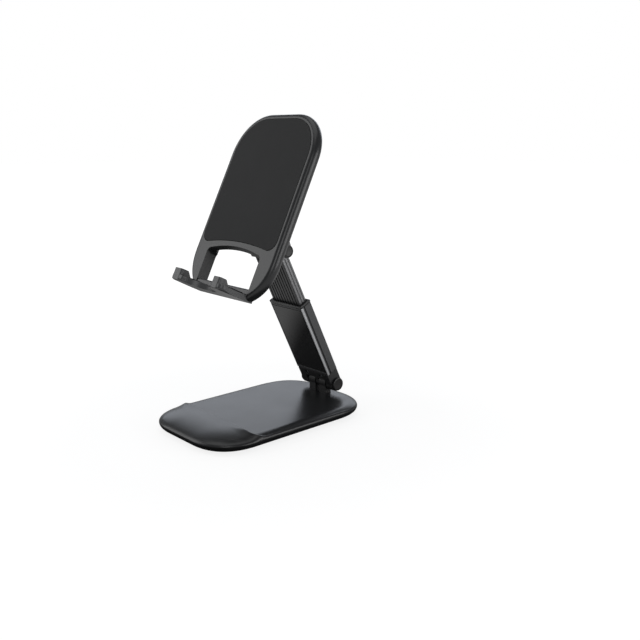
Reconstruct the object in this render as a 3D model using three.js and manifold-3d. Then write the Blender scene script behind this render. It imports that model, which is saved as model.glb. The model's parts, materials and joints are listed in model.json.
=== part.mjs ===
// Folding phone stand: a weighted base, a telescopic arm on a friction hinge, a short
// double-pivot link, and a phone plate whose lower flap swings out as the ledge.
// Millimetres, +Z up, +X right, -Y towards the user, origin under the centre of the base.
import * as THREE from 'three';
import { ConvexGeometry } from 'three/addons/geometries/ConvexGeometry.js';
import { mergeVertices } from 'three/addons/utils/BufferGeometryUtils.js';
import Module from 'manifold-3d';

const wasm = await Module();
wasm.setup();

// Driving dimensions
const GAP = 0.3;                 // between touching pieces
const SOFT = 2.3;                // exponent of the soft rounded corners
const BASE = { width: 72, length: 110.5, radius: 25.5, low: 0.7, belt: 4.4, floor: 7, lip: 9, inset: 5.5 };
const POCKET = { inset: 6.5, ceiling: 5.2 };
const LIP_REAR = -30;            // where the raised front lip steps down to the floor
const LIP_INSET = 9;             // how far the lip's top rounds in
const HINGE = { y: 47.5, z: 13.6, knuckle: 4.3, pin: 1.5 };
const ARM_LEAN = 25.74;          // degrees from upright, towards the user
const REACH = 93.5;              // lower axis to upper axis, as displayed
const SLEEVE = { half: 13.5, low: 9.3, high: 57.2, back: 4, front: -4 };
const BORE = { half: 12.3, front: -2.8, back: 3.2 };   // inside of the sleeve
const BAR = { half: 12, front: -2.5, back: 2.9, low: 37, high: 88.4 };
const RIB = { count: 9, pitch: 2.4, gap: 0.9, deep: 0.7 };   // on the front of the bar
const HEAD_BLOCK = { half: 13.2, front: -3.7, back: 3.7 };
const LINK = { length: 18.66, lean: 21.03, inner: 13.8, outer: 16.6, end: 3.7 };
const PLATE = { width: 71, length: 107.6, radius: 25, power: 2.1, taper: 0.022, belt: 3, depth: 7 };
const EDGE = { front: 2.6, back: 4 };                  // how far the plate's edges round in
const PLATE_TILT = 26.73;        // degrees from upright, leaning back
const WALL = { side: 4.5, panel: 2.6 };                // of the plate
const TILT_AXIS = { v: 49.5, n: -7.3 };                // upper link pivot in plate coordinates
const PAD = { inset: 3.4, low: 30.1, crown: 32.4, recess: 0.9, under: 0.6, proud: 0.2 };
const WINDOW = { half: 23.3, corner: 26.6, crown: 29.7, slant: 1.4 };  // slant: of its top wall
const LEDGE = { half: 22.95, low: 2.5, floor: 5.5, tip: 17, root: -8.3, hookTop: 9.1 };
const LEDGE_AXIS = { v: 5.4, n: -2.9 };
const FLAP_GAP = 2.3;            // between the shut flap and the window's crown
const HOOK = { inner: 14, outer: 20.4 };
const ROOT_RADIUS = 3.6;           // the flap's rounded root, part of the plate's rim when shut
const NOTCH = { radius: 12.4, centre: 17 };            // round cable notch between the two hooks
const CHANNEL = 18.2;            // half width of the arm's space in the plate's back

// Materials
const finish = (color, roughness, metalness = 0) =>
  new THREE.MeshStandardMaterial({ color, roughness, metalness });
const SATIN = finish(0x26272b, 0.42);
const DARK = finish(0x1b1c1f, 0.5);
const PANEL = finish(0x141517, 0.25);
const TRIM = finish(0x77797f, 0.3, 0.6);
const RUBBER = finish(0x1a1a1b, 0.9);
const STEEL = finish(0x8d9096, 0.35, 1);
const NYLON = finish(0x0f0f10, 0.6);
const ZINC = finish(0x3a3b3f, 0.4, 0.8);

// Solids
function solid(geometry) {
  geometry.deleteAttribute('normal');
  geometry.deleteAttribute('uv');
  const merged = mergeVertices(geometry, 1e-4);
  const mesh = { numProp: 3, vertProperties: merged.attributes.position.array, triVerts: merged.index.array };
  return new wasm.Manifold(new wasm.Mesh(mesh));
}

function surface(manifold) {
  const mesh = manifold.getMesh();
  const geometry = new THREE.BufferGeometry();
  geometry.setAttribute('position', new THREE.BufferAttribute(mesh.vertProperties, 3));
  geometry.setIndex(new THREE.BufferAttribute(mesh.triVerts, 1));
  geometry.computeVertexNormals();
  return geometry;
}

function block(x0, x1, y0, y1, z0, z1) {
  const geometry = new THREE.BoxGeometry(x1 - x0, y1 - y0, z1 - z0);
  return solid(geometry.translate((x0 + x1) / 2, (y0 + y1) / 2, (z0 + z1) / 2));
}

function rodX(radius, x0, x1, y = 0, z = 0, sides = 16) {
  const geometry = new THREE.CylinderGeometry(radius, radius, x1 - x0, sides).rotateZ(Math.PI / 2);
  return solid(geometry.translate((x0 + x1) / 2, y, z));
}

function rodZ(radius, z0, z1, x = 0, y = 0, sides = 12) {
  const geometry = new THREE.CylinderGeometry(radius, radius, z1 - z0, sides).rotateX(Math.PI / 2);
  return solid(geometry.translate(x, y, (z0 + z1) / 2));
}

function rodY(radius, y0, y1, x = 0, z = 0, sides = 12) {
  const geometry = new THREE.CylinderGeometry(radius, radius, y1 - y0, sides);
  return solid(geometry.translate(x, (y0 + y1) / 2, z));
}

function extrude(outline, z0, z1) {
  const options = { depth: z1 - z0, bevelEnabled: false };
  return solid(new THREE.ExtrudeGeometry(outline, options).translate(0, 0, z0));
}

// A side profile in (y, z), extruded across the part from x0 to x1
function across(points, x0, x1) {
  const profile = new THREE.Shape(points.map(([y, z]) => new THREE.Vector2(y, z)));
  const geometry = new THREE.ExtrudeGeometry(profile, { depth: x1 - x0, bevelEnabled: false });
  const turn = new THREE.Matrix4().makeBasis(
    new THREE.Vector3(0, 1, 0), new THREE.Vector3(0, 0, 1), new THREE.Vector3(1, 0, 0));
  return solid(geometry.applyMatrix4(turn).translate(x0, 0, 0));
}

function join(...pieces) {
  return pieces.reduce((sum, piece) => sum.add(piece));
}

function cut(body, ...tools) {
  return tools.reduce((rest, tool) => rest.subtract(tool), body);
}

// A rectangle with soft corners, its centre at (0, cy), shrunk by inset and narrowing upwards
function softRectangle({ width, length, radius, power = SOFT, taper = 0 }, cy = 0, inset = 0, steps = 9) {
  const [w, l, r] = [width / 2 - inset, length / 2 - inset, radius - inset];
  const points = [];
  for (let quarter = 0; quarter < 4; quarter++) {
    const [sx, sy] = [[1, 1], [-1, 1], [-1, -1], [1, -1]][quarter];
    for (let i = 0; i <= steps; i++) {
      const angle = (quarter % 2 ? steps - i : i) / steps * Math.PI / 2;
      const x = w - r + r * Math.cos(angle) ** (2 / power);
      const y = l - r + r * Math.sin(angle) ** (2 / power);
      const narrowing = 1 - taper * (0.5 + sy * y / length);
      points.push(new THREE.Vector2(sx * x * narrowing, cy + sy * y));
    }
  }
  return new THREE.Shape(points);
}

// A slab with rounded edges: its full outline at the belt, drawn in above and below it
function pillow(outline, low, belt, high, above, below = above) {
  const half = (rise, drawIn) => {
    const options = {
      depth: 0.4, bevelThickness: rise - 0.2, bevelSize: drawIn, bevelOffset: -drawIn, bevelSegments: 4 };
    return solid(new THREE.ExtrudeGeometry(outline, options).translate(0, 0, belt - 0.2));
  };
  const upper = half(high - belt, above);
  const lower = half(belt - low, below);
  return join(
    upper.intersect(block(-99, 99, -199, 199, belt - 0.1, high + 1)),
    lower.intersect(block(-99, 99, -199, 199, low - 1, belt + 0.1)));
}

const toRadians = THREE.MathUtils.degToRad;
const SIDES = [['left', -1], ['right', 1]];

// A block between |x| = inner and outer on one side
function sided(side, inner, outer) {
  return side < 0 ? [-outer, -inner] : [inner, outer];
}

function add(group, name, piece, material) {
  const mesh = new THREE.Mesh(surface(piece), material);
  mesh.name = name;
  group.add(mesh);
}

// A slotted flat-head screw along -z, its head's top at z = 0
function screw(headRadius, shaftRadius, length, sides = 10) {
  const head = rodZ(headRadius, -0.6, 0, 0, 0, sides);
  const shaft = rodZ(shaftRadius, -length, -0.5, 0, 0, sides);
  const slot = block(-headRadius * 0.6, headRadius * 0.6, -0.22, 0.22, -0.3, 1);
  return cut(join(head, shaft), slot);
}

const stand = new THREE.Group();

// Base: hollow shell, steel weight, bottom plate and rubber foot
const base = new THREE.Group();
stand.add(base);
const baseOutline = softRectangle(BASE);
const BOSSES = [[-20, -36], [20, -36], [-22, 30], [22, 30]];
const BRACKET_SCREWS = [[-9.6, 43.2], [9.6, 43.2]];
const BRACKET = { half: 12.4, front: 39.5, back: 48.2, low: 3.5, high: 4.9 };
const KNUCKLE = { inner: 1.7, outer: 7.2 };
const WEB = { front: 43.8, back: 48.1 };               // under each knuckle, through the base's top
{
  const floorSlab = pillow(baseOutline, BASE.low, BASE.belt, BASE.floor, BASE.inset);
  const lipSlab = pillow(baseOutline, BASE.low, BASE.belt, BASE.lip, LIP_INSET, BASE.inset);
  const step = softRectangle({ width: 71, length: 180, radius: 6.5 }, LIP_REAR + 90);
  const floorCut = extrude(step, BASE.floor, 20);
  let shell = join(floorSlab, cut(lipSlab, floorCut));
  const pocket = softRectangle(BASE, 0, POCKET.inset);
  shell = cut(shell, extrude(pocket, -1, POCKET.ceiling));
  for (const [x, y] of BOSSES) {
    shell = cut(join(shell, rodZ(2.6, 2.8, POCKET.ceiling + 0.5, x, y)), rodZ(1, -1, 6.2, x, y));
  }
  for (const [x, y] of BRACKET_SCREWS) shell = cut(shell, rodZ(1, 4, 6.3, x, y));
  for (const [, side] of SIDES) {
    const [x0, x1] = sided(side, KNUCKLE.inner - GAP, KNUCKLE.outer + GAP);
    shell = cut(shell, block(x0, x1, WEB.front - GAP, WEB.back + GAP, 4, 8));
  }
  add(base, 'base_shell', shell, SATIN);

  const coverOutline = softRectangle(BASE, 0, POCKET.inset + GAP);
  let cover = extrude(coverOutline, 1.3, 2.5);
  let weight = extrude(softRectangle({ width: 54, length: 76, radius: 14 }, -4), 2.8, 4.9);
  const foot = extrude(softRectangle(BASE, 0, POCKET.inset + 1), 0, 1);
  for (const [x, y] of BOSSES) {
    cover = cut(cover, rodZ(1.1, -1, 4, x, y), rodZ(1.9, 1, 2.2, x, y));
    weight = cut(weight, rodZ(3, 2, 6, x, y));
  }
  add(base, 'bottom_cover', cover, DARK);
  add(base, 'base_weight', weight, STEEL);
  add(base, 'rubber_foot', foot, RUBBER);
  BOSSES.forEach(([x, y], i) => {
    const piece = screw(1.6, 0.8, 4).rotate([180, 0, 0]).translate([x, y, 1.35]);
    add(base, `cover_screw_${i + 1}`, piece, STEEL);
  });
}

// Hinge bracket: a plate inside the base, its knuckles above, and two friction washers
{
  const { half, front, back, low, high } = BRACKET;
  let bracket = block(-half, half, front, back, low, high);
  for (const [, side] of SIDES) {
    const [x0, x1] = sided(side, KNUCKLE.inner, KNUCKLE.outer);
    const barrel = rodX(HINGE.knuckle, x0, x1, HINGE.y, HINGE.z, 24);
    const web = block(x0, x1, WEB.front, WEB.back, low, HINGE.z);
    bracket = join(bracket, barrel, web);
  }
  bracket = cut(bracket, rodX(HINGE.pin + 0.15, -20, 20, HINGE.y, HINGE.z));
  for (const [x, y] of BRACKET_SCREWS) bracket = cut(bracket, rodZ(0.95, low - 1, high + 1, x, y));
  add(base, 'hinge_bracket', bracket, SATIN);
  BRACKET_SCREWS.forEach(([x, y], i) => {
    const piece = screw(1.9, 0.8, 3.4).rotate([180, 0, 0]).translate([x, y, 2.75]);
    add(base, `bracket_screw_${SIDES[i][0]}`, piece, STEEL);
  });
  for (const [name, side] of SIDES) {
    const [x0, x1] = sided(side, KNUCKLE.outer + 0.15, KNUCKLE.outer + 0.65);
    const ring = cut(rodX(3.6, x0, x1, HINGE.y, HINGE.z), rodX(HINGE.pin + 0.15, -20, 20, HINGE.y, HINGE.z));
    add(base, `friction_washer_${name}`, ring, NYLON);
  }
}

// Arm: its own z runs up along the arm from the lower axis, its front faces -y
const arm = new THREE.Group();
arm.position.set(0, HINGE.y, HINGE.z);
arm.rotation.x = toRadians(ARM_LEAN);
stand.add(arm);
const ARM_KNUCKLE = { inner: 8.05, outer: 13.2 };
{
  // Foot: two outer knuckles and a thin centre one under a block that plugs into the sleeve
  const bore = rodX(HINGE.pin + 0.15, -20, 20);
  let foot = block(-13.2, 13.2, -4, 4, 4.9, 9);
  for (const [, side] of SIDES) {
    const [x0, x1] = sided(side, ARM_KNUCKLE.inner, ARM_KNUCKLE.outer);
    foot = join(foot, rodX(HINGE.knuckle, x0, x1, 0, 0, 24), block(x0, x1, -4, 4, 0, 5));
  }
  foot = join(foot, rodX(3.9, -1.3, 1.3), block(-1.3, 1.3, -3.4, 3.4, 0, 5));
  foot = join(foot, block(-BAR.half, BAR.half, BAR.front, BAR.back, 8.5, 14.4));
  foot = cut(foot, bore);
  for (const x of [-6, 6]) {
    foot = cut(foot, rodY(1.5, -5, -2.5, x, 6.9), rodY(0.75, -5, 1.5, x, 6.9));
  }
  add(arm, 'arm_foot', foot, SATIN);
  SIDES.forEach(([name, side]) => {
    const piece = screw(1.25, 0.55, 4).rotate([90, 0, 0]).translate([side * 6, -3.35, 6.9]);
    add(arm, `foot_screw_${name}`, piece, STEEL);
  });

  add(arm, 'lower_hinge_pin', rodX(HINGE.pin, -13.1, 13.1), STEEL);
  for (const [name, side] of SIDES) {
    const [x0, x1] = sided(side, 13.5, 14.6);
    add(arm, `lower_pivot_cap_${name}`, rodX(3.9, x0, x1, 0, 0, 24), DARK);
  }

  // Sleeve: a rectangular tube with a front panel recess and a trim groove down each side
  let sleeve = block(-SLEEVE.half, SLEEVE.half, SLEEVE.front, SLEEVE.back, SLEEVE.low, SLEEVE.high);
  sleeve = cut(sleeve, block(-BORE.half, BORE.half, BORE.front, BORE.back, 0, 99));
  sleeve = cut(sleeve, block(-12.9, 12.9, -9, -3.4, 11, 56));
  for (const [, side] of SIDES) {
    const [x0, x1] = sided(side, 12.85, 20);
    sleeve = cut(sleeve, block(x0, x1, -9, -0.9, SLEEVE.low - 1, SLEEVE.high + 1));
  }
  add(arm, 'arm_sleeve', sleeve, SATIN);
  add(arm, 'sleeve_front_panel', block(-12.6, 12.6, -4, -3.6, 11.3, 55.7), PANEL);
  for (const [name, side] of SIDES) {
    const [x0, x1] = sided(side, 13.1, 13.7);
    add(arm, `sleeve_trim_${name}`, block(x0, x1, -4, -2.3, SLEEVE.low, SLEEVE.high), TRIM);
  }
  const collar = block(-13.75, 13.75, -4.2, 4.2, SLEEVE.high + GAP, 58.9);
  add(arm, 'sleeve_collar', cut(collar, block(-BORE.half, BORE.half, BORE.front, BORE.back, 0, 99)), TRIM);
}

// Slider: a ribbed bar in the sleeve, its head block and upper knuckle
const slider = new THREE.Group();
arm.add(slider);
{
  let bar = block(-BAR.half, BAR.half, BAR.front, BAR.back, BAR.low, BAR.high);
  for (let i = 0; i < RIB.count; i++) {
    const x = (i - (RIB.count - 1) / 2) * RIB.pitch;
    bar = cut(bar, block(x - RIB.gap / 2, x + RIB.gap / 2, -9, BAR.front + RIB.deep, BAR.low + 2, 99));
  }
  for (const [, side] of SIDES) {
    const [x0, x1] = sided(side, BAR.half - 0.35, 20);
    for (const y of [-0.8, 1.1]) bar = cut(bar, block(x0, x1, y, y + 0.6, BAR.low + 2, 99));
  }
  bar = cut(bar, block(-6, 6, 1, 9, 39, 47));
  add(slider, 'slider_bar', bar, SATIN);
  add(slider, 'slide_brake', block(-5.7, 5.7, 1.3, 3, 39.3, 46.7), NYLON);

  const { half, front, back } = HEAD_BLOCK;
  let head = block(-half, half, front, back, BAR.high + GAP, REACH);
  head = join(head, rodX(HINGE.knuckle, -half, half, 0, REACH, 24));
  head = cut(head, rodX(HINGE.pin + 0.15, -20, 20, 0, REACH));
  for (const [, side] of SIDES) {
    const [x0, x1] = sided(side, 6.6, 7.4);
    head = cut(head, block(x0, x1, -9, 9, REACH - 3.4, 120));
  }
  for (const x of [-3.5, 3.5]) head = cut(head, rodY(1.2, 2.7, 9, x, 90.2), rodY(0.6, -1, 9, x, 90.2));
  add(slider, 'slider_head', head, ZINC);
  for (const [name, side] of SIDES) {
    const piece = screw(1, 0.45, 3.6).rotate([-90, 0, 0]).translate([side * 3.5, 3.6, 90.2]);
    add(slider, `slider_screw_${name}`, piece, STEEL);
  }
}

// Link: two side arms on a shared shaft, its own z runs from the upper axis to the tilt axis
const armDirection = [-Math.sin(toRadians(ARM_LEAN)), Math.cos(toRadians(ARM_LEAN))];
const upperAxis = [HINGE.y + REACH * armDirection[0], HINGE.z + REACH * armDirection[1]];
const link = new THREE.Group();
link.position.set(0, upperAxis[0], upperAxis[1]);
link.rotation.x = toRadians(LINK.lean);
stand.add(link);
{
  for (const [name, side] of SIDES) {
    const [x0, x1] = sided(side, LINK.inner, LINK.outer);
    const piece = join(
      rodX(LINK.end, x0, x1, 0, 0, 24),
      rodX(LINK.end, x0, x1, 0, LINK.length, 24),
      block(x0, x1, -LINK.end, LINK.end, 0, LINK.length));
    const holes = [0, LINK.length].map((z) => rodX(HINGE.pin + 0.15, -20, 20, 0, z));
    add(link, `link_${name}`, cut(piece, ...holes), ZINC);
    const [c0, c1] = sided(side, LINK.outer + GAP, LINK.outer + 1.2);
    add(link, `upper_pivot_cap_${name}`, rodX(3.4, c0, c1, 0, 0, 24), DARK);
  }
  add(link, 'upper_shaft', rodX(HINGE.pin, -16.5, 16.5), STEEL);
}

// Phone plate: its own y runs up the plate, its own z is the front face's normal
const tilt = toRadians(90 - PLATE_TILT);
const plateUp = [Math.cos(tilt), Math.sin(tilt)];
const plateOut = [-Math.sin(tilt), Math.cos(tilt)];
const linkLean = toRadians(LINK.lean);
const tiltAxis = [
  upperAxis[0] - LINK.length * Math.sin(linkLean),
  upperAxis[1] + LINK.length * Math.cos(linkLean)];
const plate = new THREE.Group();
plate.position.set(
  0,
  tiltAxis[0] - TILT_AXIS.v * plateUp[0] - TILT_AXIS.n * plateOut[0],
  tiltAxis[1] - TILT_AXIS.v * plateUp[1] - TILT_AXIS.n * plateOut[1]);
plate.rotation.x = tilt;
stand.add(plate);

// An outline that follows the window's crowned top edge, lowered by gap
function crowned(half, bottom, gap) {
  const sagitta = WINDOW.crown - WINDOW.corner;
  const radius = (WINDOW.half ** 2 + sagitta ** 2) / (2 * sagitta);
  const top = (x) => WINDOW.crown - gap - (radius - Math.sqrt(radius ** 2 - x * x));
  const outline = new THREE.Shape();
  outline.moveTo(-half, bottom);
  outline.lineTo(half, bottom);
  outline.lineTo(half, top(half) - 3);
  outline.quadraticCurveTo(half, top(half), half - 3, top(half - 3));
  for (let i = 1; i < 8; i++) outline.lineTo((half - 3) * (1 - i / 4), top((half - 3) * (1 - i / 4)));
  outline.lineTo(3 - half, top(half - 3));
  outline.quadraticCurveTo(-half, top(half), -half, top(half) - 3);
  return outline;
}

const plateOutline = softRectangle(PLATE, PLATE.length / 2);
const EAR_SCREWS = [46, 53];
const COVER_SCREWS = [[27, 36], [24.5, 89]];
{
  let shell = pillow(plateOutline, -PLATE.depth, -PLATE.belt, 0, EDGE.front, EDGE.back);
  const [front, back] = [0, WINDOW.slant].map((drop) => crowned(WINDOW.half, -9, drop));
  const slope = solid(new ConvexGeometry([
    ...front.getPoints(4).map((p) => new THREE.Vector3(p.x, p.y, 0.01)),
    ...back.getPoints(4).map((p) => new THREE.Vector3(p.x, p.y, -WALL.panel))]));
  const window = join(extrude(front, 0, 9), slope, extrude(back, -20, -WALL.panel));
  const inside = softRectangle(PLATE, PLATE.length / 2, WALL.side);
  const legs = block(-WINDOW.half - 2, WINDOW.half + 2, -9, 30.4, -20, -WALL.panel);
  const cavity = cut(extrude(inside, -20, -WALL.panel), legs);
  const throat = block(-CHANNEL, CHANNEL, 26, 120, -20, -WALL.panel);
  const padRecess = extrude(padOutline(0), -PAD.recess, 9);
  shell = cut(shell, window, cavity, throat, padRecess);
  for (const [, side] of SIDES) {
    for (const [x, v] of COVER_SCREWS) {
      const boss = rodZ(2.4, -4.9, -WALL.panel + 0.5, side * x, v);
      shell = cut(join(shell, boss), rodZ(0.9, -9, -3, side * x, v));
    }
    for (const v of EAR_SCREWS) shell = cut(shell, rodZ(0.85, -9, -1.5, side * 23.5, v));
    const [x0, x1] = sided(side, WINDOW.half - 1, WINDOW.half + 1.7);
    shell = cut(shell, rodX(1.35, x0, x1, LEDGE_AXIS.v, LEDGE_AXIS.n));
  }
  add(plate, 'plate_shell', shell, SATIN);
  add(plate, 'plate_pad', extrude(padOutline(GAP), -PAD.under, PAD.proud), RUBBER);
}

// The rubber pad: straight sides, soft top corners and a crowned lower edge
function padOutline(gap) {
  const inset = PAD.inset + gap;
  const soft = softRectangle(PLATE, PLATE.length / 2, inset).getPoints();
  const [low, crown] = [PAD.low + gap, PAD.crown + gap];
  const half = PLATE.width / 2 - inset;
  const upper = soft.filter((p) => p.y > 40);
  const right = upper.filter((p) => p.x > 0).sort((a, b) => a.y - b.y);
  const left = upper.filter((p) => p.x < 0).sort((a, b) => b.y - a.y);
  const outline = new THREE.Shape();
  outline.moveTo(half, low + 6);
  [...right, ...left].forEach((p) => outline.lineTo(p.x, p.y));
  outline.lineTo(-half, low + 6);
  outline.quadraticCurveTo(-half, low, 6 - half, low);
  outline.quadraticCurveTo(0, 2 * crown - low, half - 6, low);
  outline.quadraticCurveTo(half, low, half, low + 6);
  return outline;
}

// Back covers, hinge ears and their screws
{
  const rim = extrude(softRectangle(PLATE, PLATE.length / 2, WALL.side + GAP), -20, 0);
  for (const [name, side] of SIDES) {
    const [x0, x1] = sided(side, CHANNEL, 40);
    const [w0, w1] = sided(side, CHANNEL, CHANNEL + 1.2);
    const [l0, l1] = sided(side, 0, WINDOW.half + 2 + GAP);
    const [e0, e1] = sided(side, CHANNEL - 1, 20.4);
    let cover = join(block(x0, x1, 3, 105, -6.4, -5.2), block(w0, w1, 31, 105, -5.8, -3));
    cover = cut(cover.intersect(rim), block(l0, l1, -9, 30.7, -20, 0), block(e0, e1, 42.5, 56.5, -20, 0));
    for (const [x, v] of COVER_SCREWS) {
      cover = cut(cover, rodZ(1.1, -9, -4, side * x, v), rodZ(1.9, -9, -5.6, side * x, v));
    }
    add(plate, `back_cover_${name}`, cover, DARK);
    COVER_SCREWS.forEach(([x, v], i) => {
      const piece = screw(1.6, 0.7, 3.3).rotate([180, 0, 0]).translate([side * x, v, -6.5]);
      add(plate, `back_screw_${name}_${i + 1}`, piece, STEEL);
    });

    // Ear: an upright lug with a foot screwed to the back of the panel
    const [h0, h1] = sided(side, 16.9, 19.7);
    const [f0, f1] = sided(side, 16.9, 26.5);
    const lug = across([[43.5, -2.9], [43.5, -5], [46, -8], [53, -8], [55.5, -5], [55.5, -2.9]], h0, h1);
    const barrel = rodX(3.6, h0, h1, TILT_AXIS.v, TILT_AXIS.n, 24);
    let ear = join(lug, barrel, block(f0, f1, 43.5, 55.5, -4.2, -2.9));
    ear = cut(ear, rodX(HINGE.pin + 0.15, -30, 30, TILT_AXIS.v, TILT_AXIS.n));
    for (const v of EAR_SCREWS) ear = cut(ear, rodZ(0.85, -9, 0, side * 23.5, v));
    add(plate, `tilt_ear_${name}`, ear, ZINC);
    EAR_SCREWS.forEach((v, i) => {
      const piece = screw(1.5, 0.6, 3.4).rotate([180, 0, 0]).translate([side * 23.5, v, -5]);
      add(plate, `ear_screw_${name}_${i + 1}`, piece, STEEL);
    });
    const [p0, p1] = sided(side, 13.9, 19.6);
    add(plate, `tilt_pin_${name}`, rodX(HINGE.pin, p0, p1, TILT_AXIS.v, TILT_AXIS.n), STEEL);
  }
}

// Ledge: the flap that fills the window when folded, swung out to carry the phone
const ledge = new THREE.Group();
plate.add(ledge);
{
  const { half, low, floor, tip, root, hookTop } = LEDGE;
  // The flap's outline seen when folded shut: crowned at the tip, soft like the plate at the root
  const shut = crowned(half, -9, FLAP_GAP);
  const flapBlank = extrude(shut, -40, 40).intersect(extrude(plateOutline, -40, 40));
  const swing = flapBlank.translate([0, -LEDGE_AXIS.v, -LEDGE_AXIS.n]).rotate([90, 0, 0])
    .translate([0, LEDGE_AXIS.v, LEDGE_AXIS.n]);
  const rootRound = [];
  for (let i = 0; i <= 5; i++) {
    const turn = i / 5 * Math.PI / 2;
    rootRound.push([low + ROOT_RADIUS * (1 - Math.cos(turn)), root + ROOT_RADIUS * (1 - Math.sin(turn))]);
  }
  const section = [
    [low, tip + 3], ...rootRound, [8, root], [8, root + 2.2], [floor, root + 2.6], [floor, tip + 3]];
  let flap = across(section, -half, half);
  const hingeBar = [
    [floor - 1, -5.2], [8, -5.2], [9, -4.2], [9, -1.6], [8.2, -0.5], [floor - 1, -0.5]];
  flap = join(flap, across(hingeBar, -half, half));
  for (const [, side] of SIDES) {
    const [x0, x1] = sided(side, HOOK.inner, HOOK.outer);
    flap = join(flap, across([[floor - 1, 8.6], [floor + 0.7, 10], [hookTop - 0.8, 12.6], [hookTop, 13.6],
      [hookTop, tip + 3], [floor - 1, tip + 3]], x0, x1));
  }
  flap = flap.intersect(swing).intersect(block(-half, half, -20, 40, -40, tip));
  const notchTool = join(
    rodZ(NOTCH.radius, -20, 20, 0, 0, 48).rotate([90, 0, 0]).translate([0, 0, NOTCH.centre]),
    block(-NOTCH.radius, NOTCH.radius, -20, 20, NOTCH.centre, 40));
  flap = cut(flap, notchTool);
  for (const [, side] of SIDES) {
    const [x0, x1] = sided(side, 17.8, 30);
    flap = cut(flap, rodX(1.35, x0, x1, LEDGE_AXIS.v, LEDGE_AXIS.n));
  }
  add(ledge, 'ledge_flap', flap, SATIN);
  for (const [name, side] of SIDES) {
    const [x0, x1] = sided(side, 18.1, 24.8);
    add(plate, `ledge_pin_${name}`, rodX(1.2, x0, x1, LEDGE_AXIS.v, LEDGE_AXIS.n, 16), STEEL);
    const [p0, p1] = sided(side, 14, 20.2);
    add(ledge, `ledge_grip_${name}`, block(p0, p1, floor + 0.3, floor + 0.9, 0.4, 8.2), RUBBER);
  }
}

export default stand;
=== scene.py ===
# A folding phone stand in satin black: a weighted base, a telescopic arm and a padded plate.
import json
import math

import bmesh
import bpy
from mathutils import Matrix, Vector


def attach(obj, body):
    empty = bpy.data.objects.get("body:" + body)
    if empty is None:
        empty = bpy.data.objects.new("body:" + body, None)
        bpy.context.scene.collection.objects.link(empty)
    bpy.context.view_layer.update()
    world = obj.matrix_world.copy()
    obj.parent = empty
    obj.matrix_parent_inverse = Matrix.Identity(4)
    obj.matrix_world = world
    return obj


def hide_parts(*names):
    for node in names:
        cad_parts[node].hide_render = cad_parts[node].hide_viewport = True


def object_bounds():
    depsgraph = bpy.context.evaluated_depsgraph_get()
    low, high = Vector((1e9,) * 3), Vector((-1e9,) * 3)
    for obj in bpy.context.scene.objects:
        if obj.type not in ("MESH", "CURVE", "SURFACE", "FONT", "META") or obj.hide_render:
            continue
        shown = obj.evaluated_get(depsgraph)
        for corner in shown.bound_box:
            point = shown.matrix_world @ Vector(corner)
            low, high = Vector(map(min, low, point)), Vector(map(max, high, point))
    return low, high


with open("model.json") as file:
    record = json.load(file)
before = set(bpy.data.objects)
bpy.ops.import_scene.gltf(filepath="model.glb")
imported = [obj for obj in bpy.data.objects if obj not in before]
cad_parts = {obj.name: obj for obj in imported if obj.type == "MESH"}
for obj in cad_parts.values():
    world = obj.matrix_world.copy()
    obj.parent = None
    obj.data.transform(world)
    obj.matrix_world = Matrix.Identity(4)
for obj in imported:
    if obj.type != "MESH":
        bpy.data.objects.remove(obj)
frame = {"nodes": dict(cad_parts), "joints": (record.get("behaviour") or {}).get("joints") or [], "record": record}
cad_low, cad_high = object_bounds()


# ---- Studio ----
# A white sweep under a pale sky, with five soft lamps: one behind that the base's top mirrors, one
# in front for the plate's face, one overhead, one by the camera and a strip for the right edges.
# In reflections the sweep shows painted light instead: a pale glow with painted shade near the base.

stage_scene = bpy.context.scene
stage_scene.view_settings.view_transform = "Standard"
stage_scene.view_settings.look = "None"
# The sky's strength, then the strengths of the floor's painted glow and its painted shade, both seen only in
# reflections.
SKY, FLOOR_PAINTED_GLOW, FLOOR_PAINTED_SHADE = 0.25, 0.65, 0.015


class Shade:
    """A shader socket whose sums are written as Python expressions."""

    def __init__(self, tree, socket):
        self.tree, self.socket = tree, socket

    def node(self, kind, settings=None, inputs=None, out=0):
        made = self.tree.nodes.new("ShaderNode" + kind)
        for key, value in (settings or {}).items():
            setattr(made, key, value)
        for key, value in (inputs or {}).items():
            if isinstance(value, Shade):
                self.tree.links.new(value.socket, made.inputs[key])
            else:
                made.inputs[key].default_value = value
        return Shade(self.tree, made.outputs[out] if made.outputs else None)

    def maths(self, operation, first, second):
        return self.node("Math", {"operation": operation}, {0: first, 1: second})

    def __add__(self, other):
        return self.maths("ADD", self, other)

    def __sub__(self, other):
        return self.maths("SUBTRACT", self, other)

    def __mul__(self, other):
        return self.maths("MULTIPLY", self, other)


def empty_tree(owner):
    owner.use_nodes = True
    owner.node_tree.nodes.clear()
    return Shade(owner.node_tree, None)


sweep_finish = bpy.data.materials.new("white_sweep")
start = empty_tree(sweep_finish)
seen = start.node("LightPath", out="Is Camera Ray")
where = start.node("TexCoord", out="Object")
reach = start.node("VectorMath", {"operation": "LENGTH"}, {0: where}, out="Value")
far = start.node("MapRange", inputs={
    "Value": reach, "From Min": 0.1, "From Max": 0.4, "To Min": 0.76, "To Max": 1.0})
lit = start.node("BsdfDiffuse", inputs={"Color": (0.96, 0.96, 0.96, 1)})
glow = start.node("Emission", inputs={"Color": (1, 1, 1, 1), "Strength": 1.1})
white = start.node("MixShader", inputs={0: far, 1: lit, 2: glow})
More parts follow.
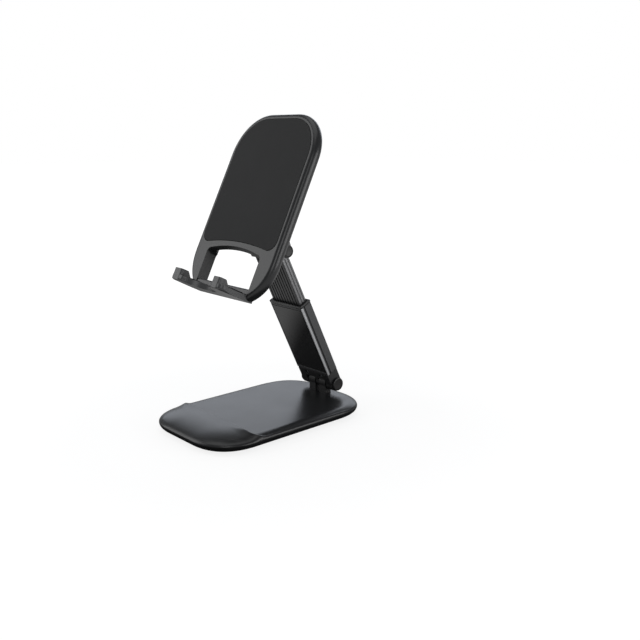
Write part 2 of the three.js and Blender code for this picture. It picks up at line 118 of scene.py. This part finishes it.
# Seen in reflections, the floor is painted light: it glows pale, with a painted dark patch of shade around the
# base and a painted dimming of the glow towards the left.
shifted = start.node("VectorMath", {"operation": "SUBTRACT"}, {0: where, 1: (0.016, -0.016, 0)})
spread = start.node("VectorMath", {"operation": "MULTIPLY"}, {
    0: shifted, 1: (1 / 0.05, 1 / 0.07, 0)})
around = start.node("VectorMath", {"operation": "LENGTH"}, {0: spread}, out="Value")
beyond_painted_shade = start.node("MapRange", inputs={"Value": around, "From Min": 1.35, "From Max": 1.8})
painted_shade_floor = start.node("Emission", inputs={"Color": (1, 1, 1, 1), "Strength": FLOOR_PAINTED_SHADE})
painted_glow_floor = start.node("Emission", inputs={"Color": (1, 1, 1, 1), "Strength": FLOOR_PAINTED_GLOW})
sideways = start.node("SeparateXYZ", inputs={0: where}, out="X")
painted_left_dimming = start.node("MapRange", inputs={
    "Value": sideways, "From Min": -0.16, "From Max": -0.1, "To Min": 0.25, "To Max": 1.0})
painted_reflection_floor = start.node("MixShader", inputs={0: beyond_painted_shade * painted_left_dimming, 1: painted_shade_floor, 2: painted_glow_floor})
mixed = start.node("MixShader", inputs={0: seen, 1: painted_reflection_floor, 2: white})
start.node("OutputMaterial", inputs={"Surface": mixed})

sweep_mesh = bpy.data.meshes.new("floor")
bm = bmesh.new()
bmesh.ops.create_grid(bm, x_segments=1, y_segments=1, size=4)
bm.to_mesh(sweep_mesh)
bm.free()
floor = bpy.data.objects.new("floor", sweep_mesh)
floor.location.z = -0.0001
sweep_mesh.materials.append(sweep_finish)
stage_scene.collection.objects.link(floor)

world = bpy.data.worlds.new("studio")
stage_scene.world = world
start = empty_tree(world)
seen = start.node("LightPath", out="Is Camera Ray")
direct = start.node("Background", inputs={"Color": (1, 1, 1, 1), "Strength": 1.0})
sky = start.node("Background", inputs={"Color": (0.94, 0.97, 1, 1), "Strength": SKY})
mixed = start.node("MixShader", inputs={0: seen, 1: sky, 2: direct})
start.node("OutputWorld", inputs={"Surface": mixed})

middle = (cad_low + cad_high) / 2


def soft_box(name, direction, distance, width, height, watts, colour=(1, 1, 1)):
    light = bpy.data.lights.new(name, "AREA")
    light.shape = "RECTANGLE"
    light.size, light.size_y = width, height
    light.energy = watts
    light.color = colour
    lamp = bpy.data.objects.new(name, light)
    aim = Vector(direction).normalized()
    lamp.location = middle + aim * distance
    lamp.rotation_euler = aim.to_track_quat("Z", "Y").to_euler()
    lamp.visible_camera = False
    stage_scene.collection.objects.link(lamp)


soft_box("back_box", (-0.75, 0.75, 0.36), 1.1, 1.4, 0.45, 2.7, (0.86, 0.91, 1))
soft_box("front_box", (-0.72, -0.58, 0.42), 1.0, 0.7, 0.7, 2.6)
soft_box("top_box", (-0.1, 0.0, 1.0), 1.2, 1.2, 1.2, 4)
soft_box("camera_box", (0.7, -0.6, 0.42), 1.1, 0.45, 0.45, 1.5)
soft_box("right_strip", (0.9, 0.42, 0.1), 0.9, 0.7, 0.4, 2.5)

camera_data = bpy.data.cameras.new("camera")
camera = bpy.data.objects.new("camera", camera_data)
camera_data.lens = 44.02
camera_data.clip_start = 0.01
AZIMUTH, ELEVATION = math.radians(47.53), math.radians(13.25)
back = Vector((math.sin(AZIMUTH) * math.cos(ELEVATION),
               -math.cos(AZIMUTH) * math.cos(ELEVATION), math.sin(ELEVATION)))
camera.location = (0.33639, -0.26201, 0.15826)
camera.rotation_mode = "QUATERNION"
camera.rotation_quaternion = (-back).to_track_quat("-Z", "Y")
stage_scene.collection.objects.link(camera)
stage_scene.camera = camera


# ---- Base shell ----
# The moulded top of the base: one piece of satin black plastic with pillow edges. Its front lip
# stands 2 mm proud of the floor, and the step between them runs out in a soft corner each side.

MM = 0.001
BASE = {"width": 72, "length": 110.5, "radius": 25.5}
BASE_HEIGHTS = {"low": 0.7, "belt": 4.4, "floor": 7, "lip": 9}
BASE_INSET = 5.5


def soft_rectangle(width, length, radius, centre=0, inset=0, power=2.3, taper=0, steps=22):
    """A rectangle with soft corners, shrunk by inset and narrowing upwards by taper."""
    w, l, r = width / 2 - inset, length / 2 - inset, radius - inset
    points = []
    for quarter, (sx, sy) in enumerate(((1, 1), (-1, 1), (-1, -1), (1, -1))):
        for i in range(steps + 1):
            turn = (steps - i if quarter % 2 else i) / steps * math.pi / 2
            x = w - r + r * abs(math.cos(turn)) ** (2 / power)
            y = l - r + r * abs(math.sin(turn)) ** (2 / power)
            narrowing = 1 - taper * (0.5 + sy * y / length)
            points.append((sx * x * narrowing, centre + sy * y))
    return points


def prism(points, low, high):
    bm = bmesh.new()
    rim = [bm.verts.new((x, y, low)) for x, y in points]
    bm.faces.new(rim)
    bmesh.ops.remove_doubles(bm, verts=bm.verts, dist=1e-4)
    grown = bmesh.ops.extrude_face_region(bm, geom=bm.faces[:])
    lifted = [v for v in grown["geom"] if isinstance(v, bmesh.types.BMVert)]
    bmesh.ops.translate(bm, vec=(0, 0, high - low), verts=lifted)
    bmesh.ops.recalc_face_normals(bm, faces=bm.faces)
    return bm


def pillow(points, low, belt, high, above, below=None, steps=12):
    """A slab that rounds in from its belt by above on top and by below underneath."""
    below = below or above
    spare = 1.02
    bm = prism(points, -below * spare, above * spare)
    for inset, side in ((above, 1), (below, -1)):
        face = side * inset * spare
        rim = [e for e in bm.edges if all(abs(v.co.z - face) < 1e-6 for v in e.verts)]
        bmesh.ops.bevel(bm, geom=rim, offset=inset, offset_type="OFFSET", affect="EDGES",
                        segments=steps, profile=0.5, material=-1)
    for vert in bm.verts:
        rise = (high - belt) / above if vert.co.z > 0 else (belt - low) / below
        vert.co.z = belt + vert.co.z * rise / spare
    bmesh.ops.recalc_face_normals(bm, faces=bm.faces)
    return bm


def workpiece(bm):
    mesh = bpy.data.meshes.new("workpiece")
    bm.to_mesh(mesh)
    bm.free()
    made = bpy.data.objects.new("workpiece", mesh)
    stage_scene.collection.objects.link(made)
    return made


def combine(bm, tools, operation="DIFFERENCE"):
    body = workpiece(bm)
    tool_objects = [workpiece(tool) for tool in tools]
    for tool in tool_objects:
        modifier = body.modifiers.new("cut", "BOOLEAN")
        modifier.operation = operation
        modifier.solver = "EXACT"
        modifier.object = tool
    ready = body.evaluated_get(bpy.context.evaluated_depsgraph_get())
    result = bmesh.new()
    result.from_mesh(ready.to_mesh())
    for spent in [body, *tool_objects]:
        bpy.data.objects.remove(spent)
    bmesh.ops.remove_doubles(result, verts=result.verts, dist=2e-4)
    bmesh.ops.dissolve_degenerate(result, edges=result.edges, dist=1e-4)
    return result


def soften(bm, width, steps=3, above=35):
    sharp = [e for e in bm.edges if len(e.link_faces) == 2
             and e.calc_face_angle(0) > math.radians(above)]
    bmesh.ops.bevel(bm, geom=sharp, offset=width, offset_type="OFFSET", affect="EDGES",
                    segments=steps, profile=0.5, material=-1, clamp_overlap=True)
    return bm


def piece(bm, name, body, finish, stands_for, place=Matrix.Scale(MM, 4)):
    bm.transform(place)
    mesh = bpy.data.meshes.new(name)
    bm.to_mesh(mesh)
    bm.free()
    mesh.shade_smooth()
    mesh.set_sharp_from_angle(angle=math.radians(40))
    mesh.materials.append(finish)
    made = bpy.data.objects.new(name, mesh)
    stage_scene.collection.objects.link(made)
    weighted = made.modifiers.new("flat_faces", "WEIGHTED_NORMAL")
    weighted.keep_sharp = True
    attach(made, body)
    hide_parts(*stands_for)
    return made


def plastic(name, colour, rough, grain=0.00022, depth=0.000006, patchy=0.08, metal=0.0):
    material = bpy.data.materials.new(name)
    start = empty_tree(material)
    where = start.node("TexCoord", out="Object")
    texture = start.node("TexNoise", inputs={
        "Vector": where, "Scale": 1 / grain, "Detail": 2.0, "Roughness": 0.6}, out=0)
    patches = start.node("TexNoise", inputs={
        "Vector": where, "Scale": 55.0, "Detail": 3.0, "Roughness": 0.55}, out=0)
    tone = start.node("Mix", {"data_type": "RGBA"}, {
        "Factor": texture, "A": (*[c * 0.8 for c in colour], 1),
        "B": (*[c * 1.25 for c in colour], 1)}, out=2)
    roughness = (patches - 0.5) * patchy + rough + (texture - 0.5) * 0.05
    bump = start.node("Bump", inputs={"Strength": 0.5, "Distance": depth, "Height": texture})
    surface = start.node("BsdfPrincipled", inputs={
        "Base Color": tone, "Roughness": roughness, "Metallic": metal, "Normal": bump})
    start.node("OutputMaterial", inputs={"Surface": surface})
    return material


SATIN = plastic("satin_black", (0.012, 0.0122, 0.0132), 0.3)

LIP_REAR, FLOOR_HALF, STEP_CORNER = -30, 35.5, 6.5
STEP_RUN, LIP_INSET = {"middle": 0.8, "corner": 2.2}, 19


def floor_depth(x, y):
    """How far a point lies inside the sunk floor, whose front corners are rounded."""
    across, along = abs(x) - (FLOOR_HALF - STEP_CORNER), LIP_REAR + STEP_CORNER - y
    outside = math.hypot(max(across, 0), max(along, 0)) + min(max(across, along), 0)
    return STEP_CORNER - outside


def edge_depth(x, y, width, length, radius, power=2.3):
    """How far a point lies inside the base's outline."""
    across, along = abs(x) - (width / 2 - radius), abs(y) - (length / 2 - radius)
    if min(across, along) <= 0:
        return radius - max(across, along)
    return radius - (across ** power + along ** power) ** (1 / power)


def smooth_step(value):
    value = min(1, max(0, value))
    return value * value * (3 - 2 * value)


def base_top(x, y):
    belt, floor_z, lip_z = (BASE_HEIGHTS[key] for key in ("belt", "floor", "lip"))
    widening = (STEP_RUN["corner"] - STEP_RUN["middle"]) * smooth_step((abs(x) - 20) / 9)
    run = STEP_RUN["middle"] + widening
    sunk = smooth_step(floor_depth(x, y) / run + 0.5)
    inset = BASE_INSET + (LIP_INSET - BASE_INSET) * smooth_step((LIP_REAR + 3 - y) / 9)
    rounding = max(0, 1 - max(0, edge_depth(x, y, **BASE)) / inset)
    return belt + (lip_z - belt - sunk * (lip_z - floor_z)) * math.sqrt(1 - rounding ** 2)


shell = pillow(soft_rectangle(**BASE), BASE_HEIGHTS["low"], BASE_HEIGHTS["belt"],
               BASE_HEIGHTS["lip"], BASE_INSET, steps=16)
cuts = [("y", -54.5 + 0.75 * i) for i in range(56)]
cuts += [("y", -30.7 + 0.2 * i) for i in range(8)]
cuts += [("x", side * (0.5 + 1.1 * i)) for i in range(20) for side in (-1, 1)]
cuts += [("x", side * (22 + 0.6 * i)) for i in range(24) for side in (-1, 1)]
for axis, place in cuts:
    point, normal = ((place, 0, 0), (1, 0, 0)) if axis == "x" else ((0, place, 0), (0, 1, 0))
    everything = shell.verts[:] + shell.edges[:] + shell.faces[:]
    bmesh.ops.bisect_plane(shell, geom=everything, dist=1e-4, plane_co=point, plane_no=normal)
for vert in shell.verts:
    if vert.co.z > BASE_HEIGHTS["belt"] + 1e-4:
        vert.co.z = base_top(vert.co.x, vert.co.y)
pocket = prism(soft_rectangle(**BASE, inset=6.5), -1, 5.2)
shell = combine(shell, [pocket])
piece(shell, "base_top", "base", SATIN, ["base_shell"])


# ---- Base underside ----
# A black sheet cover closes the base, four small screws hold it, and a thin rubber foot is stuck
# over it. The steel weight lies inside. The foot has a shallow groove parallel to its edge.

RUBBER = plastic("soft_rubber", (0.02, 0.02, 0.0203), 0.82, grain=0.0003, depth=0.00002,
                 patchy=0.05)
STEEL = plastic("plain_steel", (0.5, 0.51, 0.53), 0.32, grain=0.0005, depth=0.000004, metal=1.0)
MATT = plastic("matt_plastic", (0.018, 0.018, 0.019), 0.5)

foot = prism(soft_rectangle(**BASE, inset=7.5), 0, 1)
groove = combine(prism(soft_rectangle(**BASE, inset=10), -1, 0.35),
                 [prism(soft_rectangle(**BASE, inset=11), -2, 1)])
foot = soften(combine(foot, [groove]), 0.15, 2)
piece(foot, "rubber_sheet", "base", RUBBER, ["rubber_foot"])

cover = soften(prism(soft_rectangle(**BASE, inset=6.8), 1.3, 2.5), 0.25, 2)
piece(cover, "bottom_sheet", "base", MATT, ["bottom_cover"])


def refinish(finish, *nodes):
    for node in nodes:
        mesh = frame["nodes"][node].data
        mesh.materials.clear()
        mesh.materials.append(finish)


refinish(STEEL, "base_weight", *[f"cover_screw_{i}" for i in range(1, 5)],
         "bracket_screw_left", "bracket_screw_right")


# ---- Hinge bracket ----
# A die-cast bracket screwed to the rear of the base. Two knuckles hold the arm's pin, with a nylon
# friction washer outside each.

NYLON = plastic("black_nylon", (0.01, 0.01, 0.01), 0.55)
EDGE = 0.25


def bench_copy(node):
    bm = bmesh.new()
    bm.from_mesh(frame["nodes"][node].data)
    bm.transform(Matrix.Scale(1 / MM, 4))
    bmesh.ops.remove_doubles(bm, verts=bm.verts, dist=1e-3)
    bmesh.ops.dissolve_limit(bm, angle_limit=math.radians(1), verts=bm.verts, edges=bm.edges)
    return bm


def eased(node, name, body, finish, width=EDGE, steps=2, above=35):
    return piece(soften(bench_copy(node), width, steps, above), name, body, finish, [node])


BRACKET = plastic("bracket_black", (0.004, 0.004, 0.0045), 0.5)
eased("hinge_bracket", "rear_bracket", "base", BRACKET)
refinish(NYLON, "friction_washer_left", "friction_washer_right")


# ---- Arm foot, pin and caps ----
# The casting at the arm's lower end: two knuckles and a thin centre one under a block that plugs
# into the sleeve. Two small screws sit in its front face, and a dished cap covers each pin end.

eased("arm_foot", "arm_lower_casting", "arm", SATIN, 0.35, 3)
refinish(STEEL, "lower_hinge_pin")
CAP = plastic("cap_black", (0.008, 0.008, 0.0085), 0.4)

hinge_axis = Vector(frame["joints"][0]["pos_m"])
upper_axis = Vector(frame["joints"][2]["pos_m"])
tilt_axis = Vector(frame["joints"][3]["pos_m"])


def turned(profile, sides=64):
    """A profile of (radius, height) points spun about z."""
    bm = bmesh.new()
    chain = [bm.verts.new((radius, 0, height)) for radius, height in profile]
    edges = [bm.edges.new(pair) for pair in zip(chain, chain[1:])]
    bmesh.ops.spin(bm, geom=chain + edges, cent=(0, 0, 0), axis=(0, 0, 1), angle=2 * math.pi,
                   steps=sides, use_merge=True)
    bmesh.ops.remove_doubles(bm, verts=bm.verts, dist=1e-4)
    bmesh.ops.recalc_face_normals(bm, faces=bm.faces)
    return bm


def cap(radius, thick):
    return turned([(0, 0), (radius - 0.15, 0), (radius, 0.15), (radius, thick - 0.35),
                   (radius - 0.1, thick - 0.12), (radius - 0.35, thick), (radius - 0.75, thick),
                   (radius - 0.95, thick - 0.2), (0.5, thick - 0.32), (0, thick - 0.32)])


def end_on(side, inner, axis):
    """Stands a turned piece on the side face |x| = inner, centred on a cross axis."""
    face = Matrix.Translation((side * inner * MM, axis.y, axis.z))
    return face @ Matrix.Rotation(side * math.pi / 2, 4, "Y") @ Matrix.Scale(MM, 4)


SIDES = (("left", -1), ("right", 1))
for label, side in SIDES:
    piece(cap(3.9, 1.1), f"lower_cap_{label}", "arm", CAP, [f"lower_pivot_cap_{label}"],
          end_on(side, 13.5, hinge_axis))


def small_screw(radius, length, shaft):
    head = turned([(0, -length), (shaft, -length), (shaft, -0.6), (radius, -0.6),
                   (radius, -0.15), (radius - 0.15, 0), (0, 0)], 32)
    arms = []
    for wide, deep in ((radius * 0.62, 0.16), (0.16, radius * 0.62)):
        arms.append(prism([(-wide, -deep), (wide, -deep), (wide, deep), (-wide, deep)], -0.32, 1))
    return combine(head, arms)


arm_lean = math.atan2(-frame["joints"][1]["axis"][1], frame["joints"][1]["axis"][2])
arm_place = (Matrix.Translation(hinge_axis) @ Matrix.Rotation(arm_lean, 4, "X")
             @ Matrix.Scale(MM, 4))
facing_front = Matrix.Rotation(math.pi / 2, 4, "X")
for label, side in SIDES:
    seat = arm_place @ Matrix.Translation((side * 6, -3.35, 6.9)) @ facing_front
    piece(small_screw(1.25, 3.8, 0.55), f"foot_cross_screw_{label}", "arm", STEEL,
          [f"foot_screw_{label}"], seat)


# ---- Sleeve ----
# A rectangular aluminium tube, coated black. A half-gloss panel is let into its front, a bright
# strip runs down a groove on each side, and a chamfered collar closes the mouth.

COATED = plastic("coated_sleeve", (0.06, 0.0605, 0.0625), 0.42, metal=0.4)
GLOSS = plastic("half_gloss_panel", (0.0085, 0.0086, 0.0092), 0.2, depth=0.000002, patchy=0.04)
BRIGHT = plastic("bright_edge", (0.38, 0.385, 0.395), 0.3, metal=0.85)
eased("arm_sleeve", "sleeve_tube", "arm", COATED, 0.16, 2)
eased("sleeve_front_panel", "sleeve_panel", "arm", GLOSS, 0.14, 2)
for label, side in SIDES:
    eased(f"sleeve_trim_{label}", f"edge_strip_{label}", "arm", BRIGHT, 0.2, 3)
COLLAR = plastic("collar_satin", (0.01, 0.0102, 0.011), 0.26)
eased("sleeve_collar", "mouth_collar", "arm", COLLAR, 0.35, 2)


# ---- Slider ----
# The inner bar of the telescope. Its front carries long rounded ribs, its bare metal sides have two
# fine grooves each, and its cast head holds the upper shaft between two slots.

BAR_HALF, BAR_FRONT, BAR_BACK, BAR_LOW, BAR_HIGH = 12, -2.5, 2.9, 37, 88.4
RIB_PITCH, RIB_GAP, RIB_DEPTH = 2.4, 0.9, 0.7
RIBBED = plastic("ribbed_bar", (0.025, 0.0252, 0.026), 0.32)
BAR_SIDE = plastic("bar_side_metal", (0.17, 0.171, 0.175), 0.34, metal=0.8)
DIE_CAST = plastic("die_cast_grey", (0.15, 0.151, 0.156), 0.38, grain=0.0004, depth=0.00001,
                   metal=0.3)

section = [(BAR_HALF - 0.5, BAR_BACK), (BAR_HALF, BAR_BACK - 0.5)]
for groove in (1.4, -0.5):
    section += [(BAR_HALF, groove + 0.35), (BAR_HALF - 0.25, groove + 0.25),
                (BAR_HALF - 0.35, groove), (BAR_HALF - 0.25, groove - 0.25),
                (BAR_HALF, groove - 0.35)]
section += [(BAR_HALF, BAR_FRONT + 0.4), (BAR_HALF - 0.4, BAR_FRONT)]
left_side = [(-x, y) for x, y in reversed(section)]
for i in range(4, -5, -1):
    middle_x = i * RIB_PITCH
    for part in range(7):
        turn = math.pi * part / 6
        section.append((middle_x + RIB_GAP / 2 * math.cos(turn),
                        BAR_FRONT + RIB_DEPTH * math.sin(turn) ** 0.6))
bar = prism(section + left_side, BAR_LOW, BAR_HIGH)
for face in bar.faces:
    sideways_face = abs(face.normal.x) > 0.7
    face.material_index = int(sideways_face and abs(face.calc_center_median().x) > BAR_HALF - 1)
inner_bar = piece(bar, "inner_bar", "slider", RIBBED, ["slider_bar"], arm_place)
inner_bar.data.materials.append(BAR_SIDE)
refinish(NYLON, "slide_brake")
eased("slider_head", "inner_bar_head", "slider", DIE_CAST, 0.3, 3)
for label, side in SIDES:
    seat = arm_place @ Matrix.Translation((side * 3.5, 3.6, 90.2)) @ facing_front.inverted()
    piece(small_screw(1, 3.6, 0.45), f"head_cross_screw_{label}", "slider", STEEL,
          [f"slider_screw_{label}"], seat)


# ---- Link ----
# Two die-cast side arms share the shaft through the slider's head and carry the plate on a second
# pivot, so that the plate can fold down flat over the arm.

for label, side in SIDES:
    eased(f"link_{label}", f"side_link_{label}", "link", DIE_CAST, 0.4, 3)
    piece(cap(3.4, 0.9), f"upper_cap_{label}", "link", CAP, [f"upper_pivot_cap_{label}"],
          end_on(side, 16.9, upper_axis))
refinish(STEEL, "upper_shaft")


# ---- Plate ----
# The moulded plate behind the phone: pillow edges, a window at the foot that the ledge fills when
# shut, a shallow seat for the pad, and an open channel up the back for the folded arm.

PLATE = {"width": 71, "length": 107.6, "radius": 25, "centre": 53.8, "power": 2.1, "taper": 0.022}
PLATE_DEPTH, PLATE_BELT, EDGE_FRONT, EDGE_BACK, WALL, FACE = 7, -3, 2.6, 4, 4.5, 2.6
WINDOW_HALF, WINDOW_CORNER, WINDOW_CROWN = 23.3, 26.6, 29.7
CHANNEL_HALF = 18.2
WINDOW_SLANT, WEDGE_HALF, WEDGE_TOP = 1.4, 23.6, 30.4
TILT_V, TILT_N = 49.5, -7.3

phone_back = next(m for m in frame["record"]["mounts"] if m["name"] == "phone_back")
plate_out = Vector(phone_back["axis"]).normalized()
plate_up = plate_out.cross(Vector((1, 0, 0)))
plate_foot = tilt_axis - plate_up * TILT_V * MM - plate_out * TILT_N * MM
plate_place = Matrix.Translation(plate_foot) @ Matrix.Rotation(
    math.atan2(plate_up.z, plate_up.y), 4, "X") @ Matrix.Scale(MM, 4)


def crowned(half, bottom, gap, corner=3, steps=14):
    sagitta = WINDOW_CROWN - WINDOW_CORNER
    radius = (WINDOW_HALF ** 2 + sagitta ** 2) / (2 * sagitta)

    def top(x):
        return WINDOW_CROWN - gap - (radius - math.sqrt(radius ** 2 - x * x))

    points = [(-half, bottom), (half, bottom)]
    for i in range(steps + 1):
        turn = i / steps * math.pi / 2
        x = half - corner + corner * math.cos(turn)
        points.append((x, top(half - corner) - corner * (1 - math.sin(turn))))
    for i in range(1, 2 * steps):
        x = (half - corner) * (1 - i / steps)
        points.append((x, top(x)))
    return points + [(-x, y) for x, y in reversed(points[2:steps + 3])]


def upended(points, low, high):
    """A prism of (x, n) points that runs along the plate from v = low to v = high."""
    bm = prism(points, low, high)
    bm.transform(Matrix(((1, 0, 0, 0), (0, 0, 1, 0), (0, 1, 0, 0), (0, 0, 0, 1))))
    bmesh.ops.recalc_face_normals(bm, faces=bm.faces)
    return bm


def block(x0, x1, y0, y1, z0, z1):
    return prism([(x0, y0), (x1, y0), (x1, y1), (x0, y1)], z0, z1)


PAD_INSET, PAD_LOW, PAD_CROWN = 3.4, 30.1, 32.4


def pad_outline(gap):
    """Soft top corners, straight sides, and a lower edge that rises towards the middle."""
    inset = PAD_INSET + gap
    half, low, rise = PLATE["width"] / 2 - inset, PAD_LOW + gap, PAD_CROWN - PAD_LOW
    points = [p for p in soft_rectangle(**PLATE, inset=inset) if p[1] > 54]
    reach, curve = half - 6, 12

    def corner(side, part):
        turn = part / curve * math.pi / 2
        return side * (reach + 6 * math.cos(turn)), low + 6 * (1 - math.sin(turn))

    points += [corner(-1, i) for i in range(curve + 1)]
    for i in range(1, 20):
        x = -reach + 2 * reach * i / 20
        points.append((x, low + rise * (1 - (x / reach) ** 2)))
    return points + [corner(1, i) for i in range(curve, -1, -1)]


shell = pillow(soft_rectangle(**PLATE), -PLATE_DEPTH, PLATE_BELT, 0, EDGE_FRONT, EDGE_BACK)
cavity = combine(prism(soft_rectangle(**PLATE, inset=WALL), -20, -FACE),
                 [block(-WINDOW_HALF - 2, WINDOW_HALF + 2, -9, 30.4, -30, 5)])
window = prism(crowned(WINDOW_HALF, -9, WINDOW_SLANT), -20, 9)
for depth in (-FACE, 0):
    bmesh.ops.bisect_plane(window, geom=window.verts[:] + window.edges[:] + window.faces[:],
                           dist=1e-4, plane_co=(0, 0, depth), plane_no=(0, 0, 1))
for vert in window.verts:
    if vert.co.z > -0.01 and vert.co.y > 0:
        vert.co.y += WINDOW_SLANT
wedge_root = CHANNEL_HALF - 0.1
wedges = [upended([(side * wedge_root, -2.5), (side * wedge_root, -8), (side * WEDGE_HALF, -8)],
                  20, WEDGE_TOP) for side in (-1, 1)]
shell = combine(shell, [
    window,
    cavity, *wedges,
    block(-CHANNEL_HALF, CHANNEL_HALF, 26, 120, -20, -FACE),
    prism(pad_outline(0), -0.9, 9)])
shell = soften(shell, 0.3, 3)
piece(shell, "plate_frame", "plate", SATIN, ["plate_shell"], plate_place)

PAD = plastic("pad_rubber", (0.013, 0.013, 0.0135), 0.78, grain=0.00035, depth=0.00003, patchy=0.06)
pad = soften(prism(pad_outline(0.22), -0.6, 0.2), 0.22, 3)
piece(pad, "phone_pad", "plate", PAD, ["plate_pad"], plate_place)


# ---- Plate back ----
# Two snap-in covers close the hollow each side of the arm's channel, each with two screws. Cast
# ears stand between them and hold the link's upper pivot.

for label, side in SIDES:
    eased(f"back_cover_{label}", f"rear_cover_{label}", "plate", MATT, 0.3, 2)
    eased(f"tilt_ear_{label}", f"pivot_ear_{label}", "plate", DIE_CAST, 0.3, 2)
    refinish(STEEL, f"ear_screw_{label}_1", f"ear_screw_{label}_2", f"tilt_pin_{label}",
             f"ledge_pin_{label}")
    for number, (x, v) in enumerate(((27, 36), (24.5, 89)), 1):
        seat = plate_place @ Matrix.Translation((side * x, v, -6.5))
        seat = seat @ Matrix.Rotation(math.pi, 4, "X")
        piece(small_screw(1.6, 3.3, 0.7), f"rear_screw_{label}_{number}", "plate", STEEL,
              [f"back_screw_{label}_{number}"], seat)


# ---- Ledge ----
# The flap that fills the window when shut and carries the phone when swung out: a floor with two
# hooks, a cable notch between them, a hinge bar, and a root shaped like the plate's own rim.

LEDGE_HALF, LEDGE_LOW, LEDGE_FLOOR, LEDGE_TIP, LEDGE_ROOT = 22.95, 2.5, 5.5, 17, -8.3
ROOT_RADIUS, LEDGE_AXIS = 3.6, (5.4, -2.9)
HOOK_INNER, HOOK_OUTER, HOOK_TOP = 14, 20.4, 9.1
NOTCH_RADIUS, NOTCH_CENTRE = 12.4, 17
FLAP_GAP, TIP_SHORT = 2.3, 0.15


def across(points, x0, x1):
    """A side profile of (v, n) points, run across the plate from x0 to x1."""
    bm = prism(points, x0, x1)
    bm.transform(Matrix(((0, 0, 1, 0), (1, 0, 0, 0), (0, 1, 0, 0), (0, 0, 0, 1))))
    return bm


def arc(centre, radius, start, end, steps=8):
    turns = [math.radians(start + (end - start) * i / steps) for i in range(steps + 1)]
    return [(centre[0] + radius * math.cos(t), centre[1] + radius * math.sin(t)) for t in turns]


beyond = LEDGE_TIP + 3
profile = [(LEDGE_LOW, beyond)]
profile += arc((LEDGE_LOW + ROOT_RADIUS, LEDGE_ROOT + ROOT_RADIUS), ROOT_RADIUS, 180, 270, 10)
profile += [(8, LEDGE_ROOT), (8, LEDGE_ROOT + 2.2), (LEDGE_FLOOR, LEDGE_ROOT + 2.6),
            (LEDGE_FLOOR, beyond)]
floor_plate = across(profile, -LEDGE_HALF, LEDGE_HALF)
hinge_bar = across([(LEDGE_FLOOR - 1, -5.2)] + arc((7.8, -4), 1.2, -90, 0, 5)
                   + arc((7.9, -1.6), 1.1, 0, 90, 5) + [(LEDGE_FLOOR - 1, -0.5)],
                   -LEDGE_HALF, LEDGE_HALF)
shut = combine(prism(crowned(LEDGE_HALF, -9, FLAP_GAP), -40, 40),
               [prism(soft_rectangle(**PLATE), -50, 50)], "INTERSECT")
to_axis = Matrix.Translation((0, *LEDGE_AXIS))
shut.transform(to_axis @ Matrix.Rotation(math.pi / 2, 4, "X") @ to_axis.inverted())
flap = combine(combine(floor_plate, [hinge_bar], "UNION"),
               [shut, block(-40, 40, -20, 40, -40, LEDGE_TIP - TIP_SHORT)], "INTERSECT")
under = [e for e in flap.edges if all(v.co.y < LEDGE_LOW + 0.01 and v.co.z > 12 for v in e.verts)
         and e.calc_face_angle(0) > 0.5]
bmesh.ops.bevel(flap, geom=under, offset=1.5, offset_type="OFFSET", affect="EDGES", segments=6,
                profile=0.5, material=-1)
notch = [(-NOTCH_RADIUS, 40)] + arc((0, NOTCH_CENTRE), NOTCH_RADIUS, 180, 360, 40)
notch_tool = upended(notch + [(NOTCH_RADIUS, 40)], -20, 20)
flap = soften(combine(flap, [notch_tool]), 0.3, 3)
hooks = []
for label, side in SIDES:
    x0, x1 = sorted((side * HOOK_INNER, side * HOOK_OUTER))
    hook = across([(LEDGE_LOW + 0.3, 8.4)] + arc((8.6, 8.2), 3.1, 180, 122, 6)
                  + arc((HOOK_TOP - 1.2, 13.2), 1.2, -55, 0, 5)
                  + [(HOOK_TOP, LEDGE_TIP), (LEDGE_LOW + 0.3, LEDGE_TIP)], x0, x1)
    corners = [e for e in hook.edges if all(v.co.z > LEDGE_TIP - 0.01 for v in e.verts)
               and abs(e.verts[0].co.y - e.verts[1].co.y) > 0.5]
    bmesh.ops.bevel(hook, geom=corners, offset=1.5, offset_type="OFFSET", affect="EDGES",
                    segments=8, profile=0.5, material=-1)
    hooks.append(soften(hook, 0.45, 3, 50))
flap = combine(flap, hooks, "UNION")
HOOK = plastic("hook_satin", (0.05, 0.0505, 0.0525), 0.32)
piece(flap, "fold_out_ledge", "ledge", HOOK, ["ledge_flap"], plate_place)
for label, side in SIDES:
    eased(f"ledge_grip_{label}", f"ledge_grip_pad_{label}", "ledge", PAD, 0.15, 2)
